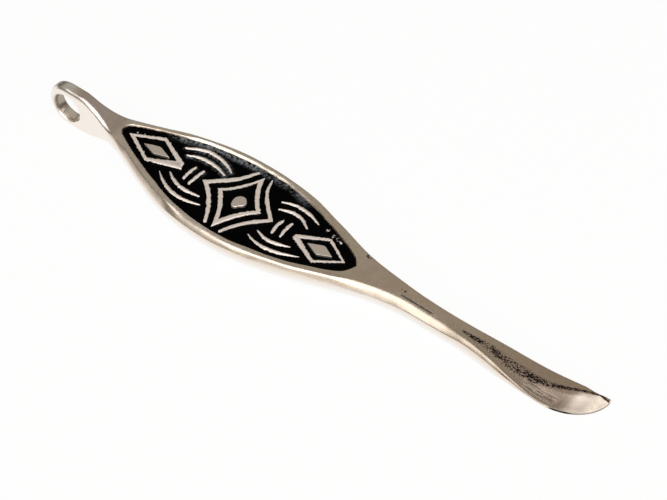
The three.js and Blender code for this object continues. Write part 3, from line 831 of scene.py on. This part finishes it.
# %% A bench for one finish
class Finish(Bench):
    def __init__(self, name):
        self.material = bpy.data.materials.new(name)
        super().__init__(self.material)
        self.shader = self.tree.nodes["Principled BSDF"]
        place = self.node("ShaderNodeTexCoord", {}, {}, "Object")
        self.place = self.vector("MULTIPLY", place, (1000, 1000, 1000))

    def stretched(self, x, y, z):
        return self.vector("MULTIPLY", self.place, (x, y, z))

    def grain(self, scale, detail=2.0, rough=0.5, place=None, **extra):
        inputs = {"Vector": place or self.place, "Scale": scale, "Detail": detail, "Roughness": rough}
        return self.node("ShaderNodeTexNoise", {}, {**inputs, **extra})

    def between(self, value, low, high):
        inputs = {"Value": value, "From Min": low, "From Max": high}
        return self.node("ShaderNodeMapRange", {"interpolation_type": "SMOOTHSTEP"}, inputs)

    def blend(self, share, a, b):
        settings = {"data_type": "RGBA", "clamp_factor": True}
        return self.node("ShaderNodeMix", settings, {"Factor": share, 6: a, 7: b}, 2)

    def coats(self, tone, *coats):
        for share, colour in coats:
            tone = self.blend(share, tone, colour)
        return tone

    def spots(self, places, height, uneven=0.0):
        found = 0.0
        for x, y, outer, inner in places:
            apart = self.vector("SUBTRACT", self.place, (x, y, height))
            away = self.vector("LENGTH", apart, output="Value") + uneven
            found = self.between(away, outer, inner).most(found)
        return found

    def kept(self, name):
        return self.node("ShaderNodeAttribute", {"attribute_name": name}, {}, "Fac")

    def use(self, **inputs):
        for key, value in inputs.items():
            self.feed(self.shader.inputs[key.replace("_", " ")], value)

    def relief(self, height):
        bump = self.node("ShaderNodeBump", {}, {"Height": height, "Distance": 0.001})
        self.feed(self.shader.inputs["Normal"], bump)


def paint(finish, *pieces):
    for piece in pieces:
        piece.data.materials.clear()
        piece.data.materials.append(finish.material)
    print(finish.material.name, "has", len(finish.tree.nodes), "nodes")


# %% [markdown]
# ## Where the pits and the grinding marks run
#
# On the real blade black pits follow the line where the bevel starts, and fine grinding
# marks follow the cutting edge. Every point of the casting keeps some numbers: its
# distances from that line and the edge, how far it faces upwards, and whether it is in
# the bore or on the eye's rim. The finish reads them, so the marks bend with the blade.

# %% Numbers kept on the casting
def keep_number(piece, name, reckon):
    layer = piece.data.attributes.new(name, "FLOAT", "POINT")
    back = TO_FRAME.inverted()
    numbers = [reckon(back @ vert.co, vert.normal) for vert in piece.data.vertices]
    layer.data.foreach_set("value", numbers)


PIT_LINE = [
    (24, 0.5), (30.5, 0.53), (35, 0.66), (39, 0.64), (42.5, 0.12), (46.3, 0.24), (47.8, 0.6),
    (49, 1.04), (50.5, 1.73), (51.5, 2.28), (53.4, 3.3),
]
PIT_SPREAD = [
    (31, 0.15), (34, 0.22), (36, 0.38), (39, 0.68), (42.5, 0.85), (45, 0.78), (47, 0.6),
    (49.5, 0.42), (51.5, 0.3), (53.4, 0.16),
]


def read_off(x, knots):
    return float(np.interp(x, *zip(*knots)))


def from_pits(p, _):
    return (p.y - read_off(p.x, PIT_LINE)) / read_off(p.x, PIT_SPREAD)


def in_bore(p, _):
    return ease(math.hypot(p.x - EYE_X, p.z - EYE_Z), BORE_R + 0.2, BORE_R + 0.05)


# Where the eye's outer rim faces away from the camera; the finish paints shade there.
def rim_painted_shade(p, normal):
    out = ease(math.hypot(p.x - EYE_X, p.z - EYE_Z), EYE_R - 0.4, EYE_R - 0.1)
    return out * ease(p.x, EYE_X - 0.7, EYE_X - 1.7) * ease(normal.y, -0.6, -0.2)


keep_number(body, "from_pits", from_pits)
keep_number(body, "in_bore", in_bore)
keep_number(body, "rim_painted_shade", rim_painted_shade)
keep_number(body, "from_edge", lambda p, _: p.y - front_edge(p.x))
keep_number(body, "upward", lambda _, normal: normal.z)
print("points with numbers:", len(body.data.vertices))

# %% [markdown]
# ## Silvery cast metal
#
# The metal is a warm white casting alloy. Its colour drifts between silver and tan where
# it has tarnished, fine scratches from polishing run along the tool, and black dirt sits
# in the pits. The base colour is bright and the roughness low, because what one sees on
# polished metal is mostly the room.

# %% Grain and scratches of the metal
metal = Finish("silvery_cast_metal")
x_mm, z_mm = metal.part(metal.place, "X"), metal.part(metal.place, "Z")
blotch = metal.grain(0.4, 4, 0.6)
skin = metal.grain(5, 3, 0.6)
scratch = metal.between(metal.grain(1.0, 2, 0.5, metal.stretched(0.5, 9, 9)), 0.58, 0.7)
from_edge = metal.kept("from_edge")
on_top = metal.between(metal.kept("upward"), 0.6, 0.9)
print("nodes so far:", len(metal.tree.nodes))

# %% [markdown]
# ## Pits, a dark line and single dots
#
# The pits are torn grain that shows only near their line, thickest in clusters. Their
# metal is stained brown around them. On the shank they thin out to one fine line, and a
# few dots beside the panel stand alone.

# %% Pits, a dark line and single dots
pit_place = metal.kept("from_pits")
beside = metal.between(pit_place * pit_place, 1.2, 0.0)
torn = metal.grain(1.0, 5, 0.75, metal.stretched(2.8, 5.6, 2.8), Distortion=0.4)
clusters = metal.between(metal.grain(0.6, 2, 0.5), 0.3, 0.5)
in_cluster = beside * (0.6 + clusters * 0.4) * metal.between(x_mm, 22.4, 23.8)
pits = metal.between(torn + in_cluster * 0.17, 0.6, 0.64) * metal.between(in_cluster, 0.05, 0.3)
stained = in_cluster * metal.between(torn, 0.3, 0.5) * on_top

thin_line = metal.between(beside, 0.1, 0.6) * metal.between(torn, 0.34, 0.42)
thin_line = thin_line * metal.between(x_mm, 12.9, 14.2) * metal.between(x_mm, 19.6, 18.2)
specks = metal.between(metal.grain(1.7, 2, 0.5), 0.735, 0.76)

DOTS = [(13.32, 1.25, 0.24, 0.17), (13.87, 1.2, 0.32, 0.25)]
DOTS += [(6.68, 2.85, 0.34, 0.27), (6.95, 2.7, 0.29, 0.22), (7.25, 2.76, 0.26, 0.19)]
dots = metal.spots(DOTS, 4.5, skin * 0.2)
print("nodes so far:", len(metal.tree.nodes))

# %% [markdown]
# ## Grinding marks on the bevel
#
# The bevel was ground along its edge, which left dark and bright streaks. They are grain
# stretched along the tool and squeezed across it, counted from the edge.

# %% Grinding marks on the bevel
followed = metal.node("ShaderNodeCombineXYZ", {}, {0: x_mm * 0.3, 1: from_edge * 4.5})
grind = metal.grain(1.0, 3, 0.6, followed)
ground_part = metal.between(x_mm, 33, 34.5) * metal.between(x_mm, 38.6, 37.6)
ground_part = ground_part * metal.between(from_edge, 0.35, 0.6) * metal.between(from_edge, 1.75, 1.35)
streaks = metal.between(grind, 0.46, 0.54) * ground_part
bright_streaks = metal.between(grind, 0.42, 0.34) * ground_part
# The blade's very edge is painted dark as painted shade.
edge_side = metal.between(from_edge, 0.12, 0.04) * metal.between(x_mm, 37.4, 38.4)
edge_painted_shade = edge_side * metal.between(x_mm, 41, 40) * metal.between(blotch, 0.3, 0.5)
# Dirt in the pits, the fine line, specks and dots, plus the painted shade along the edge.
dirt_and_edge_shade = pits.most(thin_line * 0.9).most(streaks * 0.75).most(specks * 0.7) * on_top
dirt_and_edge_shade = dirt_and_edge_shade.most(dots * 0.95).most(edge_painted_shade)
print("nodes so far:", len(metal.tree.nodes))

# %% [markdown]
# ## Tones of the tarnish, painted reflection and painted shade
#
# The top is silvery at the eye's end, tan along the panel and browner towards the blade.
# The sides are painted pale, whiter towards the bottom: a painted reflection of the white
# table. The bore is painted pale as painted light and dark at its outer end as painted
# shade. The eye's outer rim is painted dark as painted shade where it faces away from the
# camera, and so is a band along the near edge of the top where the panel narrows into
# the shank.

# %% Tones of the tarnish, painted reflection and painted shade
silver, tan, brown = (0.88, 0.81, 0.74), (0.74, 0.62, 0.51), (0.6, 0.46, 0.37)
handled = metal.between(x_mm, -26, 16) * 0.75 + metal.between(blotch, 0.38, 0.64) * 0.3
neck = metal.between(x_mm, -39.2, -37.8) * metal.between(x_mm, -30.8, -32.2)
mottle = metal.between(metal.grain(2.2, 3, 0.6), 0.4, 0.7)
# Painted shade: a darker band along the near edge of the top.
near_edge_painted_shade = metal.between(from_edge, 1.3, 0.3) * metal.between(x_mm, 0, 8)
top_tone = metal.coats(
    metal.blend(handled, silver, tan),
    (metal.between(x_mm, 16, 38) * 0.8, brown),
    (neck * 0.9, (0.66, 0.57, 0.54)),
    (metal.between(x_mm, -38.6, -39.8), (1, 0.98, 0.95)),
    (mottle * 0.22, (0.45, 0.36, 0.29)),
    (near_edge_painted_shade * 0.4, (0.42, 0.36, 0.28)),
)
# Painted reflection: the sides are painted pale and whiter towards the bottom, like the white table.
side_painted_reflection = metal.blend(metal.between(z_mm, 4.0, 2.5), (0.84, 0.72, 0.6), (0.95, 0.92, 0.885))
side_painted_reflection = metal.blend(metal.between(x_mm, -30, -34), side_painted_reflection, (0.93, 0.86, 0.78))
# Inside the bore: painted light, pale, and painted shade, dark at its outer end.
bore_painted_light_and_shade = metal.blend(metal.between(x_mm, -40.6, -41.9), (1, 0.93, 0.82), (0.3, 0.24, 0.19))
tone = metal.coats(
    metal.blend(on_top, side_painted_reflection, top_tone),
    (stained * 0.75, (0.2, 0.13, 0.095)),
    (bright_streaks * 0.8, (1, 0.95, 0.9)),
    (metal.kept("in_bore") * 0.85, bore_painted_light_and_shade),
    # painted shade on the eye's outer rim
    (metal.kept("rim_painted_shade"), (0.29, 0.245, 0.2)),
)
print("nodes so far:", len(metal.tree.nodes))

# %% [markdown]
# ## The tip's painted highlight
#
# The tip's face is painted pale as a painted highlight and made matt, and its very edge
# is painted dark as painted shade. The highlight fades out over two millimetres towards the shank.

# %% The tip's painted highlight
# Painted highlight on the tip, with a ragged start and a softer fading zone before it.
tip_highlight_start = x_mm + blotch * 0.6 - skin * 0.3
on_bevel = metal.between(pit_place, -0.5, -1.4)
tip_highlight_fade = metal.between(tip_highlight_start, 38.8, 41) * on_bevel
tip_painted_highlight = metal.between(tip_highlight_start, 41.2, 42.3) * on_bevel * (1 - edge_side * 0.85)
flecked = metal.between(metal.grain(1.6, 4, 0.7), 0.4, 0.6)
tone = metal.coats(
    tone,
    (tip_highlight_fade * 0.6, (0.88, 0.82, 0.75)),
    # painted shade along the very edge
    (edge_side * 0.85, (0.24, 0.21, 0.18)),
    (tip_painted_highlight, metal.blend(flecked, (1, 0.93, 0.84), (0.88, 0.79, 0.7))),
    (dirt_and_edge_shade, (0.012, 0.007, 0.005)),
)
worn_matt = tip_highlight_fade * 0.2 + tip_painted_highlight * 0.25
metal.use(Base_Color=tone, Metallic=1 - dirt_and_edge_shade * 0.96, Specular_IOR_Level=0.1)
metal.use(Roughness=0.27 + scratch * 0.04 + dirt_and_edge_shade * 0.4 + worn_matt)
metal.relief(blotch * 0.02 + skin * 0.001 - scratch * 0.001 - dirt_and_edge_shade * 0.012)
paint(metal, body)

# %% [markdown]
# ## Stoned line tops
#
# After firing, enamel and lines were rubbed level with a stone. That left the tops of
# the narrow lines matt and pale, with fine marks across them. The wide cores wore less
# and kept more of the metal's own tone. The distance from the lines' edges tells the
# two apart.

# %% Stoned line tops
keep_number(raised_lines, "from_lines", lambda p, _: wall_tree.find((p.x, p.y, 0))[2])
stoned = Finish("stoned_line_tops")
marks = stoned.grain(1.0, 3, 0.6, stoned.stretched(2.5, 9, 9))
worn = stoned.grain(1.6, 3)
wide = stoned.between(stoned.kept("from_lines"), 0.4, 0.5)
worn_share = stoned.between(worn, 0.35, 0.7) * 0.35
tone = stoned.blend(worn_share, (0.97, 0.9, 0.86), (0.84, 0.77, 0.72))
tone = stoned.blend(wide, tone, (0.83, 0.75, 0.69))
stoned.use(Base_Color=tone, Metallic=1.0, Roughness=0.62 + marks * 0.1 - wide * 0.18)
stoned.relief(marks * 0.006 + worn * 0.012)
paint(stoned, raised_lines)

# %% [markdown]
# ## Black enamel
#
# The fill is nearly black glass with a slight blue cast. Where it was rubbed level with
# the stone it is matt and swallows the light. On the slopes beside the far rim and the
# arcs it carries a painted sheen: there it is coloured grey and made metallic. Air that
# escaped left it grainy, and the grain breaks the painted sheen into sparkles. By the
# lozenges a few chips show bare metal.

# %% Black enamel
for piece in enamel.values():
    keep_number(piece, "painted_gleam", lambda p, _: painted_gleam(p.x, p.y))

glass = Finish("black_enamel_fill")
pores = glass.grain(3.2, 4, 0.7)
cloud = glass.grain(0.7, 2)
# Painted sheen: grey, metallic, grainy patches on the slopes by the far rim and the arcs.
painted_sheen = glass.kept("painted_gleam") * glass.between(pores + cloud * 0.3, 0.56, 0.8)
flecks = glass.between(glass.grain(3.0, 3, 0.65), 0.52, 0.56)
CHIPS = [(0.02, 3.28, 0.33, 0.198), (1.15, 2.95, 0.28, 0.168), (1.95, 2.95, 0.33, 0.198)]
CHIPS += [(2.5, 2.72, 0.3, 0.18), (-29.5, 1.12, 0.18, 0.108), (-28.7, 1.35, 0.2, 0.12)]
flecks = flecks * glass.spots(CHIPS, 4.1)
black, blue_black = (0.0003, 0.0003, 0.0004), (0.0007, 0.0007, 0.0013)
tone = glass.blend(glass.between(cloud, 0.35, 0.7), black, blue_black)
tone = glass.blend(painted_sheen, tone, (0.31, 0.325, 0.36))
glass.use(Base_Color=glass.blend(flecks, tone, (0.95, 0.9, 0.85)), Metallic=painted_sheen.most(flecks))
glass.use(Roughness=0.35 + pores * 0.2 + flecks * 0.25, IOR=1.5, Specular_IOR_Level=0.02)
glass.relief(pores * 0.06 + cloud * 0.02 + flecks * 0.03)
paint(glass, *enamel.values())

# %% [markdown]
# ## The table
#
# The tool lies on a plain white table. It rests on the eye's rim, 2.1 mm below the flat
# back, and on the shank 66 mm away, so the table is tilted to touch both. It shows white
# to the camera and in the metal, and keeps the tool's soft shadow.

# %% The table
def sheet(name, width, depth, place):
    shape = bmesh.new()
    bmesh.ops.create_grid(shape, x_segments=1, y_segments=1, size=0.5)
    bmesh.ops.scale(shape, vec=(width, depth, 1), verts=shape.verts)
    bmesh.ops.transform(shape, matrix=place, verts=shape.verts)
    piece = as_piece(shape, name)
    return piece


EYE_X_IN_FRAME, EYE_TO_SHANK = -0.04, 0.066
tilt = Matrix.Rotation(-math.atan2(BACK_Z, EYE_TO_SHANK), 4, "Y")
table = sheet("table", 3, 3, Matrix.Translation((EYE_X_IN_FRAME, 0, 0)) @ tilt)

white = Finish("white_table")
white.use(Base_Color=(0.9, 0.9, 0.9), Roughness=0.9, Specular_IOR_Level=0.0)
seen = white.node("ShaderNodeLightPath", {}, {}, "Is Camera Ray")
mirrored = white.node("ShaderNodeLightPath", {}, {}, "Is Glossy Ray")
glow = white.node("ShaderNodeEmission", {}, {"Color": (1, 1, 1), "Strength": 1.0})
share = (seen * 0.93).most(mirrored)
plain = Wire(white, white.shader.outputs[0])
lit = white.node("ShaderNodeMixShader", {}, {0: share, 1: plain, 2: glow})
white.feed(white.tree.nodes["Material Output"].inputs["Surface"], lit)
paint(white, table)

# %% [markdown]
# ## The light
#
# One large soft light hangs overhead on the camera's side. Its far edge is just above
# the tool: faces that lean towards the camera mirror it as white bands, while level
# faces mirror the dimmer, warm room beyond it and look tan. Between the two a dark card
# draws the soft dark lines beside the white ones. A panel as bright stands in front, a
# dim warm one under it draws the second dark line, and the room is darker low down.
# Power follows from brightness and area.

# %% The light
UP, TO_CAMERA = Vector((0, 0, 1)), Vector((0.628, -0.778, 0))
CEILING, WIDTH, DEPTH, GAP, PANELS = 0.9, 2.4, 1.17, 0.1, 1.28
WHITE, DIM = 1.4, 0.25


def soft_light(name, place, towards, height, brightness, colour=(1, 1, 1)):
    lamp = bpy.data.lights.new(name, "AREA")
    lamp.shape, lamp.size, lamp.size_y = "RECTANGLE", WIDTH, height
    lamp.energy, lamp.color = 4 * brightness * WIDTH * height, colour
    light = in_scene(name, lamp)
    light.location = place
    light.rotation_euler = towards.to_track_quat("-Z", "Y").to_euler()
    light.visible_camera = False
    return light


facing = math.atan2(TO_CAMERA.x, -TO_CAMERA.y)
softbox = soft_light("softbox", TO_CAMERA * (DEPTH / 2 + GAP) + UP * CEILING, -UP, DEPTH, WHITE)
softbox.rotation_euler = (0, 0, facing)
soft_light("front_panel", TO_CAMERA * PANELS + UP * 0.625, -TO_CAMERA, 0.55, WHITE)
soft_light("low_panel", TO_CAMERA * PANELS + UP * 0.175, -TO_CAMERA, 0.33, DIM, (1, 0.93, 0.85))
print("lights:", [lamp.name for lamp in bpy.data.lights])

# %% The room and the dark card
room = bpy.data.worlds.new("room")
air = Bench(room)
how_high = air.part(air.node("ShaderNodeTexCoord", {}, {}, "Generated"), "Z")
stops = [(0.1, (0.13, 0.115, 0.095)), (0.5, (0.36, 0.33, 0.28))]
shade = air.node("ShaderNodeValToRGB", {"stops": stops}, {"Fac": how_high})
air.feed(air.tree.nodes["Background"].inputs["Color"], shade)
bpy.context.scene.world = room

above = Matrix.Translation(TO_CAMERA * 0.01 + UP * CEILING)
card = sheet("dark_card", WIDTH, 0.17, above @ Matrix.Rotation(facing, 4, "Z"))
card.visible_camera = False
cloth = Finish("dark_cloth")
cloth.use(Base_Color=(0.06, 0.05, 0.045), Roughness=1.0, Specular_IOR_Level=0.0)
paint(cloth, card)

# %% [markdown]
# ## The camera
#
# The viewpoint was fitted to the photograph: about 49 degrees above the table and 39
# degrees round towards the blade, from 43 cm away.

# %% The camera
IMAGE_WIDTH, FOCAL_LENGTH = 667, 3427  # in pixels
lens = bpy.data.cameras.new("camera")
lens.sensor_width, lens.lens = 36, FOCAL_LENGTH / IMAGE_WIDTH * 36
camera = in_scene("camera", lens)
camera.location = (0.1788, -0.2172, 0.3236)
back, right = Vector((0.4145, -0.5136, 0.7513)), Vector((0.7782, 0.6280, 0.0))
camera.rotation_euler = Matrix((right, back.cross(right), back)).transposed().to_euler()
bpy.context.scene.camera = camera
bpy.context.scene.view_settings.view_transform = "Standard"
print("camera distance:", round(camera.location.length, 3), "m")
